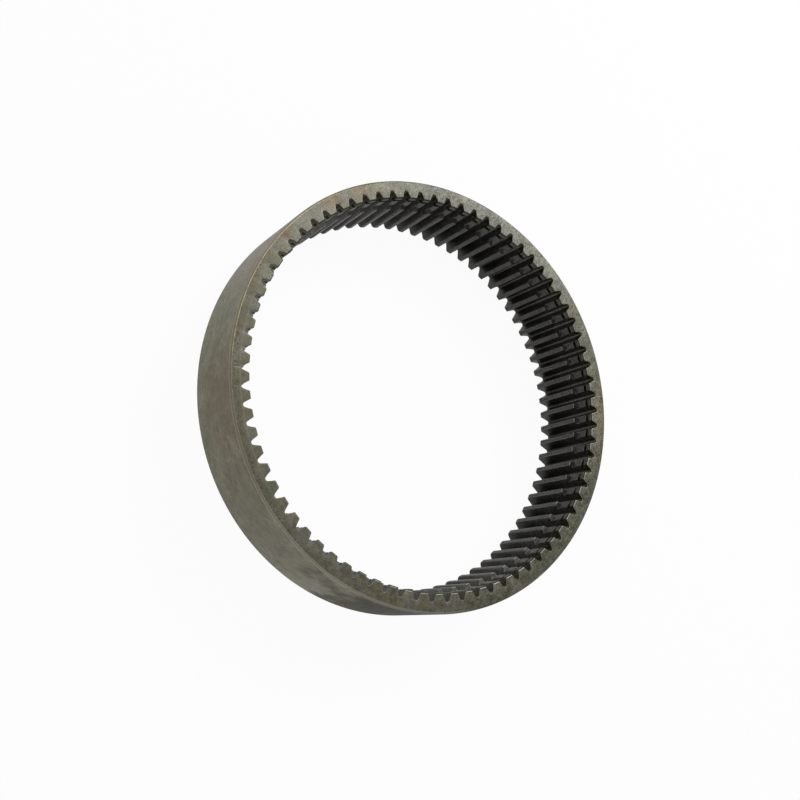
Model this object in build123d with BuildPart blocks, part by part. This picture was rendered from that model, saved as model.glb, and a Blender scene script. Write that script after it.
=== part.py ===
from build123d import *

import os
from math import acos, cos, pi, radians, sin, tan

# Internal ring gear of a planetary drive: one hardened steel ring with straight teeth on the inside.
#
# The ring lies on its back face. The origin is the centre of that face, and +Z runs along the ring's axis
# to the front face. The front ends of the teeth are turned shorter to make a seat for a toothed carrier,
# with a groove for its snap ring in front of the seat and an undercut at the seat's shoulder.

# Teeth
module = 3.0
tooth_count = 75
pressure_angle = 20.0
addendum = 3.0
dedendum = 3.85
root_rise = 0.25
backlash = 0.1

# Ring
rim_behind_roots = 6.15
face_width = 49.2
outer_edge_chamfer = 1.0
back_bore_chamfer = 1.3

# Shortened front ends of the teeth, with depths measured from the front face
tip_shortening = 2.0
seat_depth = 14.2
seat_lead_in = 0.8
undercut_width = 2.2
undercut_depth = 0.6
groove_from_front = 3.2
groove_width = 2.2
groove_depth = 2.0

# Cutter
flank_points = 4
cutter_overrun = 2.0

# Sizes that follow
pitch_radius = module * tooth_count / 2
base_radius = pitch_radius * cos(radians(pressure_angle))
tip_radius = pitch_radius - addendum
root_radius = pitch_radius + dedendum
flank_end_radius = root_radius - root_rise
outer_radius = root_radius + rim_behind_roots
seat_radius = tip_radius + tip_shortening
undercut_radius = seat_radius + undercut_depth
groove_radius = seat_radius + groove_depth
shoulder_height = face_width - seat_depth
undercut_top = shoulder_height + undercut_width
groove_top = face_width - groove_from_front
groove_bottom = groove_top - groove_width


def involute(angle):
    """Involute function of an angle in radians."""
    return tan(angle) - angle


def half_space_angle(radius):
    """Half the angle that one tooth space spans at a radius, in radians."""
    at_pitch = pi / (2 * tooth_count) + backlash / (2 * pitch_radius)
    return at_pitch + involute(radians(pressure_angle)) - involute(acos(base_radius / radius))


def flank_point(share):
    """Point of a space's upper flank, from the cutter's mouth at share 0 to the arched root at share 1."""
    mouth_radius = tip_radius - cutter_overrun
    radius = mouth_radius + share * (flank_end_radius - mouth_radius)
    angle = half_space_angle(radius)
    return (radius * cos(angle), radius * sin(angle))


with BuildSketch() as tooth_space:
    with BuildLine():
        upper_flank = Spline(*[flank_point(step / (flank_points - 1)) for step in range(flank_points)])
        lower_flank = mirror(upper_flank, about=Plane.XZ)
        ThreePointArc(upper_flank @ 1, (root_radius, 0), lower_flank @ 1)
        Line(lower_flank @ 0, upper_flank @ 0)
    make_face()

with BuildPart() as ring_gear:
    # Turned blank, with every diameter that the tooth tips end on
    with BuildSketch(Plane.XZ):
        with BuildLine():
            Polyline(
                (outer_radius, outer_edge_chamfer),
                (outer_radius, face_width - outer_edge_chamfer),
                (outer_radius - outer_edge_chamfer, face_width),
                (seat_radius + seat_lead_in, face_width),
                (seat_radius, face_width - seat_lead_in),
                (seat_radius, groove_top),
                (groove_radius, groove_top),
                (groove_radius, groove_bottom),
                (seat_radius, groove_bottom),
                (seat_radius, undercut_top),
                (undercut_radius, undercut_top),
                (undercut_radius, shoulder_height),
                (tip_radius, shoulder_height),
                (tip_radius, back_bore_chamfer),
                (tip_radius + back_bore_chamfer, 0),
                (outer_radius - outer_edge_chamfer, 0),
                close=True,
            )
        make_face()
    revolve(axis=Axis.Z)
    # Tooth spaces, shaped through from face to face
    with BuildSketch(Plane.XY):
        with PolarLocations(0, tooth_count):
            add(tooth_space.sketch)
    extrude(amount=face_width, mode=Mode.SUBTRACT)

ring_gear.part.label = "ring_gear"
os.makedirs("parts", exist_ok=True)
export_step(ring_gear.part, "parts/ring_gear.step")
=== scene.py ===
from math import acos, atan2, cos, pi, radians, sin, tan
from types import SimpleNamespace

import bpy
from mathutils import Euler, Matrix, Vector


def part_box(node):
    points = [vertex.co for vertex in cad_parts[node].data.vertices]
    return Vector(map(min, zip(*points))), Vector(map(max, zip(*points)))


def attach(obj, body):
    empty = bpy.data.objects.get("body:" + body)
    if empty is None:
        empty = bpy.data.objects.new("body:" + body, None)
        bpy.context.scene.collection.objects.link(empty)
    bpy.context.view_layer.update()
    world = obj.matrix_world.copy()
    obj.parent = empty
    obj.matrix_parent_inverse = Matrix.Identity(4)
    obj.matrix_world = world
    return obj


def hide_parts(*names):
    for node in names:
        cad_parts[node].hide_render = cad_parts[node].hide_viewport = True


# The steel internal ring gear of a planetary drive, lying on its back face in a white studio.
# Sizes are in metres. The ring's axis is Z and a tooth space lies on +X.

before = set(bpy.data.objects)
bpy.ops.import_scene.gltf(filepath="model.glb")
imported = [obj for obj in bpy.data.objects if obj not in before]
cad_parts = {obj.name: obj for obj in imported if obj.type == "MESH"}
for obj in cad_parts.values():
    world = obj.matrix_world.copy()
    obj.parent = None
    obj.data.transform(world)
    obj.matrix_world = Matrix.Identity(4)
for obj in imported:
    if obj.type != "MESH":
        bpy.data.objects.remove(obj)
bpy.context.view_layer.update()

# Ring, from the box of its solid
far_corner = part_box("ring_gear")[1]
outer_radius = far_corner.x
face_width = far_corner.z

# Teeth
module = 0.003
tooth_count = 75
pressure_angle = radians(20)
addendum = 0.003
flank_end_radius = 0.11555
root_steps = 5
backlash = 0.0001

# Turned features, with depths measured from the front face
outer_edge_chamfer = 0.001
back_bore_chamfer = 0.0013
tip_shortening = 0.002
seat_depth = 0.0142
seat_lead_in = 0.0008
undercut_width = 0.0022
undercut_depth = 0.0006
groove_from_front = 0.0032
groove_width = 0.0022
groove_depth = 0.002

# Edge breaks, and how much of their wear and painted highlight the faces carry
turned_break = 0.0002
tooth_break = 0.00025
break_wear_and_highlight = 1.0
long_edge_wear_and_highlight = 0.4

# Sizes that follow
pitch_radius = module * tooth_count / 2
base_radius = pitch_radius * cos(pressure_angle)
tip_radius = pitch_radius - addendum
seat_radius = tip_radius + tip_shortening
groove_radius = seat_radius + groove_depth
undercut_radius = seat_radius + undercut_depth
half_pitch = pi / tooth_count
shoulder_height = face_width - seat_depth
undercut_top = shoulder_height + undercut_width
groove_top = face_width - groove_from_front
groove_bottom = groove_top - groove_width


# ---------------------------------------------------------------- the tooth space

def involute(angle):
    """Involute function of an angle in radians."""
    return tan(angle) - angle


def space_angle(radius):
    """Half the angle that a tooth space spans at a radius."""
    at_pitch = half_pitch / 2 + backlash / (2 * pitch_radius)
    return at_pitch + involute(pressure_angle) - involute(acos(base_radius / radius))


def flank_place(radius):
    """Point of the upper flank at a radius, and the flank's direction into the tooth."""
    angle = space_angle(radius)
    slope = acos(base_radius / radius) - angle
    return Vector((radius * cos(angle), radius * sin(angle))), Vector((sin(slope), cos(slope)))


def root_places():
    """Points and directions of the round root, from the middle of the space to the flank."""
    end, outward = flank_place(flank_end_radius)
    round_radius = end.y / outward.y
    centre = Vector((end.x - round_radius * outward.x, 0))
    step = atan2(outward.y, outward.x) / root_steps
    directions = [Vector((cos(step * k), sin(step * k))) for k in range(root_steps)]
    return [(centre + round_radius * out, out) for out in directions]


def flank_radii():
    """Radii of the flank's points, with a pair about each turned surface that ends in the flank."""
    radii = [flank_end_radius, (flank_end_radius + groove_radius) / 2]
    for turned in (groove_radius, undercut_radius, seat_radius):
        radii += [turned + tooth_break, turned - tooth_break]
    return radii + [(seat_radius + tip_radius) / 2, tip_radius + tooth_break]


def outline(turned_radius, spread=0.0):
    """Half a pitch of the toothed bore where the blank is turned to a radius, as flat points.
    The spread sets the tooth space wider, for the edge break at an end face."""
    points = []
    for place, outward in root_places() + [flank_place(radius) for radius in flank_radii()]:
        point = place + spread * outward
        points.append(point * max(1, turned_radius / point.length))
    for angle in (space_angle(tip_radius) + tooth_break / tip_radius, half_pitch):
        points.append(turned_radius * Vector((cos(angle), sin(angle))))
    return points


# ---------------------------------------------------------------- the turned section

def bore_section():
    """The section's corners from the back face's bore edge up to the front face's, as radius, height
    and the part of a tooth whose edges carry wear and painted highlight there."""
    return [
        (tip_radius + back_bore_chamfer, 0, "face"),
        (tip_radius, back_bore_chamfer, "tip"),
        (tip_radius, shoulder_height, "tip"),
        (undercut_radius, shoulder_height, "inner"),
        (undercut_radius, undercut_top, "inner"),
        (seat_radius, undercut_top, "seat"),
        (seat_radius, groove_bottom, "seat"),
        (groove_radius, groove_bottom, "inner"),
        (groove_radius, groove_top, "inner"),
        (seat_radius, groove_top, "seat"),
        (seat_radius, face_width - seat_lead_in, "seat"),
        (seat_radius + seat_lead_in, face_width, "face"),
    ]


def rim_section():
    """The section's corners from the front face down the rim to the back face."""
    return [
        (outer_radius - outer_edge_chamfer, face_width, "face"),
        (outer_radius, face_width - outer_edge_chamfer, "face"),
        (outer_radius, outer_edge_chamfer, "face"),
        (outer_radius - outer_edge_chamfer, 0, "face"),
    ]


def corner_rows(before, corner, after, toothed):
    """The two rows of points that a broken edge puts in place of a corner of the section."""
    rows = []
    middle = Vector(corner[:2])
    for other in (before, after):
        radius, height = middle + turned_break * (Vector(other[:2]) - middle).normalized()
        if toothed:
            half = outline(radius, turned_break if height in (0, face_width) else 0)
        else:
            half = [radius * point.normalized() for point in outline(seat_radius)]
        whole = [Vector((point.x, -point.y)) for point in reversed(half[1:])] + half
        rows.append([(point.x, point.y, height) for point in whole])
    return rows


def pitch_mesh():
    """One pitch of the ring's skin, from the middle of a tooth to the middle of the next.
    Its faces carry how much wear and painted highlight their edge has."""
    bore = bore_section()
    loop = bore + rim_section()
    rows, kinds = [], []
    for index, corner in enumerate(loop):
        following = loop[(index + 1) % len(loop)]
        rows += corner_rows(loop[index - 1], corner, following, index < len(bore))
        kinds += [(corner[2], corner[2]), (corner[2], following[2])]
    across = len(rows[0])
    seat_column = root_steps + flank_radii().index(seat_radius + tooth_break)
    first_wear_and_highlight = {"face": 0, "seat": seat_column, "tip": across // 2 - 2, "inner": across}
    faces, wear_and_highlight = [], []
    for row, (kind, next_kind) in enumerate(kinds):
        above = (row + 1) % len(rows)
        for column in range(across - 1):
            first, second = row * across + column, above * across + column
            faces.append((first, second, second + 1, first + 1))
            out = max(column - across // 2, across // 2 - 1 - column)
            edge_break = row % 2 == 0 and out >= first_wear_and_highlight[kind]
            long_edge = kind == next_kind and out == first_wear_and_highlight[kind] > 0
            # Edge breaks and long edges carry wear and a painted highlight
            wear_and_highlight.append(break_wear_and_highlight if edge_break else long_edge_wear_and_highlight if long_edge else 0)
    mesh = bpy.data.meshes.new("tooth_pitch")
    mesh.from_pydata([point for row in rows for point in row], [], faces)
    mesh.attributes.new("edge_wear_and_highlight", "FLOAT", "FACE").data.foreach_set("value", wear_and_highlight)
    return mesh


# ---------------------------------------------------------------- node trees

class Wire:
    """An output socket of a node tree, which takes part in expressions."""

    def __init__(self, board, socket):
        self.board, self.socket = board, socket

    def __add__(self, other):
        return self.board.maths("ADD", self, other)

    def __sub__(self, other):
        return self.board.maths("SUBTRACT", self, other)

    def __rsub__(self, other):
        return self.board.maths("SUBTRACT", other, self)

    def __mul__(self, other):
        return self.board.maths("MULTIPLY", self, other)

    def __truediv__(self, other):
        return self.board.maths("DIVIDE", self, other)

    def __abs__(self):
        return self.board.maths("ABSOLUTE", self)

    __radd__, __rmul__ = __add__, __mul__

    def twin(self, name):
        """Another output of the same node."""
        return Wire(self.board, self.socket.node.outputs[name])


class Board:
    """A node tree being wired."""

    def __init__(self, tree):
        self.tree = tree

    def node(self, kind, settings=None, inputs=None, output=0):
        """Adds a node with its settings, then its sockets' values or links, and gives its output."""
        made = self.tree.nodes.new(kind)
        for name, value in (settings or {}).items():
            setattr(made, name, value)
        for name, value in (inputs or {}).items():
            if isinstance(value, Wire):
                self.tree.links.new(value.socket, made.inputs[name])
            else:
                made.inputs[name].default_value = value
        return Wire(self, made.outputs[output]) if made.outputs else None

    def maths(self, operation, *values):
        """A calculation with one value or two."""
        return self.node("ShaderNodeMath", {"operation": operation}, dict(enumerate(values)))

    def between(self, value, start, end, low=0.0, high=1.0):
        """Goes smoothly from low to high while a value goes from start to end."""
        inputs = {"Value": value, "From Min": start, "From Max": end, "To Min": low, "To Max": high}
        return self.node("ShaderNodeMapRange", {"interpolation_type": "SMOOTHSTEP"}, inputs)

    def blend(self, share, first, second, how="MIX"):
        """Mixes two colours, each a wire or its red, green and blue."""
        inputs = {"Factor": share}
        for socket, colour in ((6, first), (7, second)):
            inputs[socket] = colour if isinstance(colour, Wire) else (*colour, 1)
        return self.node("ShaderNodeMix", {"data_type": "RGBA", "blend_type": how}, inputs, 2)

    def times(self, colour, level):
        """A colour made lighter or darker by a level about 1."""
        return self.blend(1, colour, level, "MULTIPLY")

    def noise(self, place, scale, detail, roughness):
        """Soft noise between 0 and 1."""
        inputs = {"Vector": place, "Scale": scale, "Detail": detail, "Roughness": roughness}
        return self.node("ShaderNodeTexNoise", {}, inputs)

    def vector(self, x, y, z):
        """Joins three values to a vector."""
        return self.node("ShaderNodeCombineXYZ", {}, {"X": x, "Y": y, "Z": z})

    def parts(self, vector):
        """The three values of a vector."""
        first = self.node("ShaderNodeSeparateXYZ", {}, {"Vector": vector})
        return [first.twin(name) for name in "XYZ"]


def fresh_board(owner):
    """The emptied node tree of a material or a world, to be wired."""
    owner.use_nodes = True
    owner.node_tree.nodes.clear()
    return Board(owner.node_tree)


def add_object(name, data):
    """Adds an object to the scene."""
    made = bpy.data.objects.new(name, data)
    bpy.context.scene.collection.objects.link(made)
    return made


# ---------------------------------------------------------------- the ring

def teeth_tree():
    """Sets one pitch of the ring round its axis, once for each tooth, and joins them."""
    tree = bpy.data.node_groups.new("teeth_round_the_axis", "GeometryNodeTree")
    tree.interface.new_socket("Geometry", in_out="OUTPUT", socket_type="NodeSocketGeometry")
    for name, kind in (("Geometry", "Geometry"), ("Teeth", "Int"), ("Join Distance", "Float"),
                       ("Corner Angle", "Float"), ("Steel", "Material")):
        tree.interface.new_socket(name, in_out="INPUT", socket_type="NodeSocket" + kind)
    board = Board(tree)
    pitch = board.node("NodeGroupInput", output="Geometry")
    teeth, gap, corner, steel = [pitch.twin(name) for name in
                                 ("Teeth", "Join Distance", "Corner Angle", "Steel")]
    index = board.node("GeometryNodeInputIndex")
    turn = board.vector(0, 0, index * 2 * pi / teeth)
    places = board.node("GeometryNodePoints", {}, {"Count": teeth})
    copies = board.node("GeometryNodeInstanceOnPoints", {},
                        {"Points": places, "Instance": pitch, "Rotation": turn})
    skin = board.node("GeometryNodeRealizeInstances", {}, {"Geometry": copies})
    joined = board.node("GeometryNodeMergeByDistance", {}, {"Geometry": skin, "Distance": gap})
    smooth = board.node("GeometryNodeSetShadeSmooth", {"domain": "FACE"}, {"Geometry": joined})
    bend = board.node("GeometryNodeInputMeshEdgeAngle")
    crisp = board.node("FunctionNodeCompare", {"operation": "GREATER_THAN"}, {0: bend, 1: corner})
    edges = board.node("GeometryNodeSetShadeSmooth", {"domain": "EDGE"},
                       {"Geometry": smooth, "Selection": crisp, "Shade Smooth": False})
    done = board.node("GeometryNodeSetMaterial", {}, {"Geometry": edges, "Material": steel})
    board.node("NodeGroupOutput", {}, {"Geometry": done})
    return tree


def ring(steel):
    """The whole ring as a plain mesh, with its flats kept flat beside the edge breaks."""
    blank = add_object("blank", pitch_mesh())
    tree = teeth_tree()
    teeth = blank.modifiers.new("teeth", "NODES")
    teeth.node_group = tree
    values = {"Teeth": tooth_count, "Join Distance": 1e-6, "Corner Angle": radians(60), "Steel": steel}
    for item in tree.interface.items_tree:
        if item.in_out == "INPUT" and item.name in values:
            teeth[item.identifier] = values[item.name]
    blank.modifiers.new("flats", "WEIGHTED_NORMAL").keep_sharp = True
    made = bpy.data.meshes.new_from_object(blank.evaluated_get(bpy.context.evaluated_depsgraph_get()))
    bpy.data.objects.remove(blank)
    return add_object("toothed_ring", made)


# ---------------------------------------------------------------- the steel

# Colours as red, green and blue. The end faces and the rim have a main colour and two for patches.
face_colours = (0.143, 0.131, 0.090), (0.136, 0.135, 0.098), (0.153, 0.152, 0.126)
rim_colours = (0.148, 0.131, 0.073), (0.140, 0.134, 0.078), (0.143, 0.131, 0.088)
rim_scratch = (0.25, 0.245, 0.20)
oiled_tip = (0.055, 0.053, 0.050)
front_tip = (0.038, 0.037, 0.027)
# Front tip lands, lighter towards the top
upper_front_tip = (0.058, 0.059, 0.049)
oiled_step = (0.060, 0.058, 0.050)
# Painted light: the undercut floor is coloured lighter to lift it out of its shade
undercut_painted_light = (0.130, 0.126, 0.112)
# Painted shade in the groove
groove_painted_shade = (0.030, 0.029, 0.023)
flank_front = (0.092, 0.091, 0.080)
# Painted shade: the flanks darken towards the back of the bore
flank_back_painted_shade = (0.030, 0.029, 0.026)
flank_end = (0.062, 0.055, 0.034)
brown_film = (0.205, 0.165, 0.118)
# A dark patch low on the rim
rim_dark_patch_colour = (0.052, 0.044, 0.033)
rust = (0.162, 0.130, 0.088)
pit = (0.060, 0.048, 0.030)
# Light chamfer and edge colours: bare steel from wear and a painted highlight; the low chamfer colour is
# painted highlight only
bare_chamfer_and_highlight = (0.29, 0.265, 0.195)
low_chamfer_highlight = (0.36, 0.34, 0.28)
golden_chamfer_and_highlight = (0.42, 0.35, 0.225)
golden_edge_and_highlight = (0.60, 0.50, 0.33)
# Light tooth edges: polish from wear and a painted highlight
polished_edge_and_highlight = (0.70, 0.68, 0.58)
scribed, scribed_burr = (0.05, 0.045, 0.035), (0.30, 0.28, 0.20)

# Where a finish, or the painted shade on the flanks, goes over into the next: the start and the end of the
# change
bore_mouth = 0.1168, 0.1163
root_zone = 0.1143, 0.1150
rim_zone = outer_radius - 0.0012, outer_radius - 0.0010
front_zone = face_width - 0.007, face_width - 0.003
front_edge_zone = face_width - 0.0005, face_width - 0.0003
shoulder_edge_zone = shoulder_height + 0.0003, shoulder_height + 0.0001
# Painted shade on the flanks deepens between these heights
flank_shade_depth = 0.032, 0.006
pitted_band = outer_radius - 0.0055, outer_radius - 0.0025
left_part = -0.02, -0.09

# Marks on the front face: radii that the scribed lines run between, and the middles of the curved ones
long_scribe = 0.1168, 0.1203
short_scribe = 0.1185, 0.1205
root_mark_radius = 0.1169
rust_radius, rust_angle = 0.1190, -0.21

# A brown film on the rim, and a dark, duller patch low on it: angle in degrees, radius, height and size
film_place = 134, outer_radius, 0.042, 0.045
rim_dark_patch_place = -101, outer_radius, 0.028, 0.070

# Stains on the front face: angle in degrees, radius, size, strength and colour
face_stains = (
    (55, outer_radius, 0.100, 0.8, (0.126, 0.126, 0.112)),
    (-48, outer_radius, 0.075, 0.9, (0.116, 0.119, 0.086)),
    (84, outer_radius, 0.055, 0.5, (0.122, 0.118, 0.098)),
    (38, outer_radius, 0.028, 0.7, (0.150, 0.149, 0.122)),
    (126, outer_radius, 0.008, 0.9, (0.160, 0.124, 0.084)),
    (124, 0.1160, 0.040, 0.8, (0.158, 0.155, 0.130)),
    (134, outer_radius, 0.009, 0.9, (0.160, 0.124, 0.084)),
    (117, outer_radius, 0.009, 0.9, (0.165, 0.130, 0.092)),
    (106, outer_radius, 0.008, 0.9, (0.160, 0.130, 0.094)),
    (-100, outer_radius, 0.010, 0.4, (0.136, 0.119, 0.084)),
)

# Stains on the rim: angle in degrees, height, size, strength and colour
rim_stains = (
    (178, 0.034, 0.032, 0.9, (0.124, 0.096, 0.056)),
    (173, 0.047, 0.014, 0.7, (0.136, 0.103, 0.062)),
    (-150, 0.030, 0.040, 0.5, (0.118, 0.108, 0.080)),
    (-160, 0.022, 0.009, 0.8, (0.122, 0.094, 0.066)),
    (138, 0.042, 0.014, 0.8, (0.162, 0.130, 0.085)),
    (142, 0.022, 0.012, 0.7, (0.150, 0.146, 0.122)),
    (-148, 0.012, 0.012, 0.6, (0.150, 0.122, 0.090)),
)


def zones(board):
    """The point's own coordinates, and how much it lies in each zone of the ring, from 0 to 1."""
    place = board.node("ShaderNodeTexCoord", output="Object")
    x, y, z = board.parts(place)
    normal = board.node("ShaderNodeNewGeometry", output="True Normal")
    normal_x, normal_y, facing = board.parts(normal)
    radius = board.maths("SQRT", x * x + y * y)
    radial = abs((normal_x * x + normal_y * y) / radius)
    inside = board.between(radius, *bore_mouth) * board.between(z, face_width - 1e-5, face_width - 1e-4)
    upward = board.between(facing, 0.3, 0.9)
    flank = board.between(radial + facing, 0.75, 0.55)
    root = board.between(radius, *root_zone) * (1 - upward)
    rim = board.between(radius, *rim_zone)
    near_front = board.between(z, *front_zone)
    reach = radius + abs(z - face_width / 2) - outer_radius - face_width / 2
    chamfer = board.between(reach, -outer_edge_chamfer - 0.0003, -outer_edge_chamfer - 0.0001)
    undercut = (board.between(z, undercut_top + 0.0004, undercut_top)
                * board.between(z, shoulder_height - 0.0003, shoulder_height - 0.0001))
    off_groove = abs(z - (groove_top + groove_bottom) / 2)
    groove = (board.between(off_groove, groove_width / 2 + 0.0002, groove_width / 2)
              * board.between(radius, seat_radius + 0.0001, seat_radius + 0.0004) * inside)
    return SimpleNamespace(
        place=place, x=x, y=y, z=z, radius=radius, angle=board.maths("ARCTAN2", y, x), facing=facing,
        edge=board.node("ShaderNodeAttribute", {"attribute_name": "edge_wear_and_highlight"}, output="Fac"),
        inside=inside, upward=upward, flank=board.maths("MAXIMUM", flank, root), rim=rim,
        near_front=near_front, chamfer=chamfer, undercut=undercut, groove=groove,
        left=board.between(x, *left_part))


def patterns(board, at):
    """Noises of the surface, from fine to coarse, then turning marks and three drawn out on a slant."""
    x, y, z = at.x, at.y, at.z
    turning = board.vector(at.angle * 10, z * 1300, at.radius * 500)
    streaks = board.vector((x + y + z) * 160, (x - y) * 1300, z * 900)
    rubbed = board.vector((y + z * 0.7) * 1300, (z - y * 0.7) * 90, x * 90)
    dragged = board.vector((y - z * 1.1) * 1100, (z + y * 1.1) * 80, x * 80)
    return SimpleNamespace(
        specks=board.noise(at.place, 1500, 2, 0.6),
        grain=board.noise(at.place, 800, 3, 0.6),
        mottle=board.noise(at.place, 330, 4, 0.65),
        clouds=board.noise(at.place, 90, 4, 0.6),
        patches=board.noise(at.place, 30, 3, 0.55),
        turning=board.noise(turning, 1.0, 4, 0.65),
        streaks=board.noise(streaks, 1.0, 3, 0.6),
        rubbed=board.noise(rubbed, 1.0, 3, 0.6),
        dragged=board.noise(dragged, 1.0, 3, 0.6))


def face_colour(board, look):
    """The end faces: olive grey steel with paler clouds."""
    plain, green, pale = face_colours
    colour = board.blend(board.between(look.patches, 0.4, 0.6), plain, green)
    return board.blend(board.between(look.clouds, 0.48, 0.62) * 0.6, colour, pale)


def rim_colour(board, look):
    """The rim: turned steel, mottled and lightly scratched."""
    plain, green, pale = rim_colours
    colour = board.blend(board.between(look.patches, 0.42, 0.58), plain, green)
    colour = board.blend(board.between(look.clouds, 0.48, 0.62) * 0.5, colour, pale)
    turned = (look.turning - 0.5) * 1.6 + (look.mottle - 0.5) * 0.6 + (look.clouds - 0.5) * 0.8
    rubbed = (look.rubbed - 0.5) * 0.7 + (look.dragged - 0.5) * 0.7 + (look.grain - 0.5) * 0.8
    colour = board.times(board.times(colour, 1 + turned), 1 + rubbed)
    scratches = board.between(look.rubbed, 0.57, 0.68) + board.between(look.dragged, 0.60, 0.70)
    scratched = scratches * 0.35 * board.between(look.clouds, 0.45, 0.55, 0.3, 1.0)
    return board.blend(scratched, colour, rim_scratch)


def bore_colour(board, at):
    """The bore: dark and oiled, with duller flanks that darken towards the back with painted shade.
    Its groove is darkened with painted shade, its undercut lightened with painted light, and its front tip
    lands are lighter towards the top.
    """
    # The front tip lands get lighter towards the top
    front = board.blend(board.between(at.y, 0.0, 0.06), front_tip, upper_front_tip)
    colour = board.blend(at.near_front, oiled_tip, front)
    colour = board.blend(at.upward, colour, oiled_step)
    # Painted light on the undercut floor
    colour = board.blend(at.undercut, colour, undercut_painted_light)
    # Painted shade darkens the groove
    colour = board.blend(at.groove, colour, groove_painted_shade)
    # Painted shade: the flanks darken towards the back
    flank = board.blend(board.between(at.z, *flank_shade_depth), flank_front, flank_back_painted_shade)
    flank = board.blend(at.near_front, flank, flank_end)
    return board.blend(at.flank, colour, flank)


def stain(board, at, wander, turn, radius, height, size):
    """How strong a soft, ragged stain is: 1 in its middle at an angle, radius and height, 0 outside."""
    ragged, core = 2, 0.3
    middle = (radius * cos(radians(turn)), radius * sin(radians(turn)), height)
    far = board.node("ShaderNodeVectorMath", {"operation": "DISTANCE"}, {0: at.place, 1: middle}, "Value")
    return board.between(far + (wander - 0.5) * size * ragged, size, size * core)


def stained(board, at, look, colour):
    """Lays the stains over a colour."""
    for turn, height, size, strength, tint in rim_stains:
        share = stain(board, at, look.clouds, turn, outer_radius, height, size) * strength
        colour = board.blend(share * at.rim * (1 - at.inside), colour, tint)
    for turn, radius, size, strength, tint in face_stains:
        share = stain(board, at, look.clouds, turn, radius, face_width, size) * strength
        colour = board.blend(share * at.upward * (1 - at.inside), colour, tint)
    return colour


def rusted(board, at, look, colour):
    """Lays a thin arc of rust on the front face, a little way out from the tooth roots."""
    line = board.between(abs(at.radius - rust_radius), 0.0014, 0.0003)
    arc = line * board.between(abs(at.angle - rust_angle), 0.20, 0.08)
    return board.blend(arc * at.upward * board.between(look.mottle, 0.35, 0.5), colour, rust)


def shade(board, at, look):
    """How much lighter or darker than its colour a place is. The left and lower parts are smoother."""
    smooth = board.between(at.x, -0.04, 0.02, 0.5, 1.0) * board.between(at.y, -0.11, -0.07, 0.6, 1.0)
    fine = (look.specks - 0.5) * 3.2 + (look.grain - 0.5) * 1.4 + (look.streaks - 0.5) * 1.6
    rough = board.between(at.x, -0.115, -0.06, 0.45, 1.0) * (1 - at.rim * 0.6)
    return (1 + (fine * smooth + (look.mottle - 0.5) * 1.5) * rough
            + (look.clouds - 0.5) * (0.7 - at.rim * 0.3))


def pitted(board, at, look, colour):
    """Puts small dark pits along the left part of the front face's outer edge."""
    near_edge = board.between(at.radius, *pitted_band)
    pits = board.between(look.grain, 0.54, 0.60) * near_edge * board.between(at.x, -0.07, -0.10) * at.upward
    return board.blend(pits * 0.7, colour, pit)


def wear_and_highlight_outside(board, at, look, colour):
    """Lightens the left and lower parts of the outer chamfers, and the left part's edges, with bare steel
    from wear and a painted highlight; on the lower part it is painted highlight only.
    """
    bared = board.between(look.mottle, 0.38, 0.58, 0.25, 0.9)
    wear_and_highlight_part = board.between(at.y, 0.010, 0.035, 0.2, 1.0) * at.left
    low = board.between(at.y, -0.03, -0.07) * board.between(at.x, 0.02, -0.02)
    front = board.between(at.z, face_width - 0.0006, face_width - 0.0004, 0.3, 1.0)
    # Bare steel and a painted highlight on the left chamfer
    colour = board.blend(at.left * at.chamfer * 0.9, colour, bare_chamfer_and_highlight)
    # Painted highlight on the lower chamfer
    colour = board.blend(low * at.chamfer * 0.7, colour, low_chamfer_highlight)
    # Bare steel and a painted highlight on the upper left chamfer and front edges
    colour = board.blend(bared * wear_and_highlight_part * at.chamfer * 0.3, colour, golden_chamfer_and_highlight)
    return board.blend(at.edge * bared * wear_and_highlight_part * front * (1 - at.inside), colour, golden_edge_and_highlight)


def wear_and_highlight_inside(board, at, look, colour):
    """Lightens the edges of the teeth, most at their front ends and at the seat's shoulder, with polish from
    wear and a painted highlight strongest on upward-facing edges at the lower right, and painted glint lines
    on the flank edges at the bottom.
    """
    # Painted glint lines on the flank edges near the bottom
    painted_glints = (board.between(at.y, -0.085, -0.10)
              * board.between(at.radius, seat_radius + 0.0004, seat_radius + 0.0010))
    across = board.maths("MAXIMUM", board.between(at.x, -0.04, 0.03, 0.2, 1.0), painted_glints)
    # Painted highlight, strongest on upward-facing edges at the lower right
    polish_and_highlight = (board.between(at.facing, -0.3, 0.5, 0.1, 1.0) * board.between(at.y, 0.08, -0.05, 0.35, 1.0)
                * across * board.between(at.y, -0.09, -0.06, 0.6, 1.0))
    ends = board.between(at.z, *front_edge_zone) + board.between(at.z, *shoulder_edge_zone) * 0.7
    crisp = board.between(look.mottle, 0.35, 0.5, 0.5, 1.0) * (ends * 0.75 + 0.25)
    return board.blend(at.edge * crisp * polish_and_highlight * at.inside, colour, polished_edge_and_highlight)


def scribe(board, at, turn, start, end, offset):
    """A fine straight line scribed across the front face at an angle, from one radius to another."""
    along = at.x * cos(turn) + at.y * sin(turn)
    beside = at.y * cos(turn) - at.x * sin(turn) - offset
    line = board.between(abs(beside), 0.0004, 0.0002)
    return line * board.between(along, start - 0.0003, start) * board.between(along, end + 0.0003, end)


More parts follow.
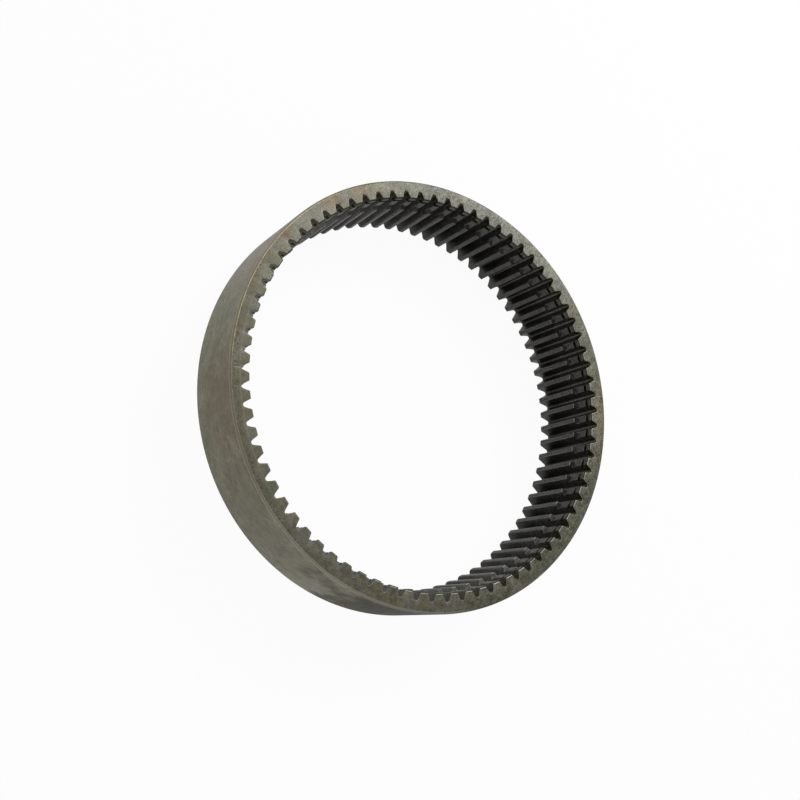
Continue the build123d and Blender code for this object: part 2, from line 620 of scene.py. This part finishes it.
def marked(board, at, colour):
    """Scribes two lines at the left of the front face, one with a groove, and a mark round the roots."""
    long_line, short_line = 72 * half_pitch, 74 * half_pitch
    groove = scribe(board, at, long_line, *long_scribe, -0.0004)
    burrs = (scribe(board, at, long_line, *long_scribe, 0.0004)
             + scribe(board, at, short_line, *short_scribe, 0.0002) * 0.6)
    root_mark = (board.between(abs(at.radius - root_mark_radius), 0.0004, 0.0001)
                 * board.between(at.x, -0.10, -0.114))
    colour = board.blend(groove * at.upward * 0.5, colour, scribed)
    return board.blend((burrs + root_mark * 0.5) * at.upward * 0.6, colour, scribed_burr)


def steel_material():
    """Turned and hardened steel, dulled by handling, darker and oiled between the teeth."""
    material = bpy.data.materials.new("dulled_steel")
    board = fresh_board(material)
    at = zones(board)
    look = patterns(board, at)
    outside = board.blend(at.rim, face_colour(board, look), rim_colour(board, look))
    colour = stained(board, at, look, board.blend(at.inside, outside, bore_colour(board, at)))
    film = stain(board, at, look.clouds, *film_place) * at.rim * 0.6
    colour = board.blend(film, colour, brown_film)
    # A dark, rougher and less metallic patch low on the rim
    rim_dark_patch = stain(board, at, (look.clouds + look.patches) * 0.5, *rim_dark_patch_place) * at.rim * 0.85
    colour = board.blend(rim_dark_patch, colour, rim_dark_patch_colour)
    colour = board.times(rusted(board, at, look, colour), shade(board, at, look))
    colour = wear_and_highlight_outside(board, at, look, pitted(board, at, look, colour))
    colour = marked(board, at, wear_and_highlight_inside(board, at, look, colour))
    height = look.grain * 0.5 + look.mottle * 0.4 + look.specks * 0.3 + look.turning * at.rim * 0.5
    shader = board.node("ShaderNodeBsdfPrincipled", {}, {
        "Base Color": colour,
        "Roughness": board.between(look.mottle, 0.3, 0.7, 0.42, 0.56) + rim_dark_patch * 0.35,
        "Metallic": 0.85 - (film + rim_dark_patch) * 0.75,
        "Normal": board.node("ShaderNodeBump", {}, {"Strength": 0.6, "Distance": 0.0001, "Height": height})})
    board.node("ShaderNodeOutputMaterial", {}, {"Surface": shader})
    return material


# ---------------------------------------------------------------- the studio

def floor_material():
    """White paper, which shows white to the eye and to reflections and keeps the ring's shadow."""
    material = bpy.data.materials.new("white_paper")
    board = fresh_board(material)
    paper = board.node("ShaderNodeBsdfDiffuse", {}, {"Color": (0.9, 0.9, 0.9, 1)})
    white = board.node("ShaderNodeEmission", {}, {"Color": (1, 1, 1, 1), "Strength": 1.0})
    seen = board.node("ShaderNodeLightPath", output="Is Camera Ray")
    share = (seen + seen.twin("Is Glossy Ray") + seen.twin("Is Transmission Ray")) * 0.95
    mixed = board.node("ShaderNodeMixShader", {}, {0: share, 1: paper, 2: white})
    board.node("ShaderNodeOutputMaterial", {}, {"Surface": mixed})
    return material


def floor():
    """The flat floor under the ring."""
    half = 6.0
    corners = [(-half, -half, 0), (half, -half, 0), (half, half, 0), (-half, half, 0)]
    mesh = bpy.data.meshes.new("floor")
    mesh.from_pydata(corners, [], [(0, 1, 2, 3)])
    mesh.materials.append(floor_material())
    add_object("floor", mesh)


def surroundings():
    """Even pale light from all round, which shows white."""
    world = bpy.data.worlds.new("studio")
    board = fresh_board(world)
    even = board.node("ShaderNodeBackground", {}, {"Color": (1, 1, 1, 1), "Strength": 0.45})
    white = board.node("ShaderNodeBackground", {}, {"Color": (1, 1, 1, 1), "Strength": 1.0})
    seen = board.node("ShaderNodeLightPath", output="Is Camera Ray")
    mixed = board.node("ShaderNodeMixShader", {}, {0: seen, 1: even, 2: white})
    board.node("ShaderNodeOutputWorld", {}, {"Surface": mixed})
    bpy.context.scene.world = world


def lamp(name, place, size, power):
    """A square soft lamp that faces the ring."""
    data = bpy.data.lights.new(name, "AREA")
    data.size, data.energy = size, power
    made = add_object(name, data)
    made.location = place
    made.rotation_euler = (-Vector(place)).to_track_quat("-Z", "Y").to_euler()


def camera():
    """The camera, above and left of the ring, rolled so that the ring's +Y side is at the top."""
    data = bpy.data.cameras.new("camera")
    data.lens, data.sensor_width = 46.53, 36
    data.shift_x, data.shift_y = -0.02525, -0.12784
    made = add_object("camera", data)
    made.location = (-0.31697, -0.08141, 0.53062)
    made.rotation_euler = Euler((radians(17.758), radians(-31.028), radians(-8.93)))
    bpy.context.scene.camera = made


camera()
gear = ring(steel_material())
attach(gear, "root")
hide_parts("ring_gear")
floor()
surroundings()
lamp("key", (1.05, 1.1, 1.3), size=0.9, power=20.5)
lamp("right", (1.5, 0.6, 1.2), size=0.6, power=3)
bpy.context.scene.view_settings.view_transform = "Standard"
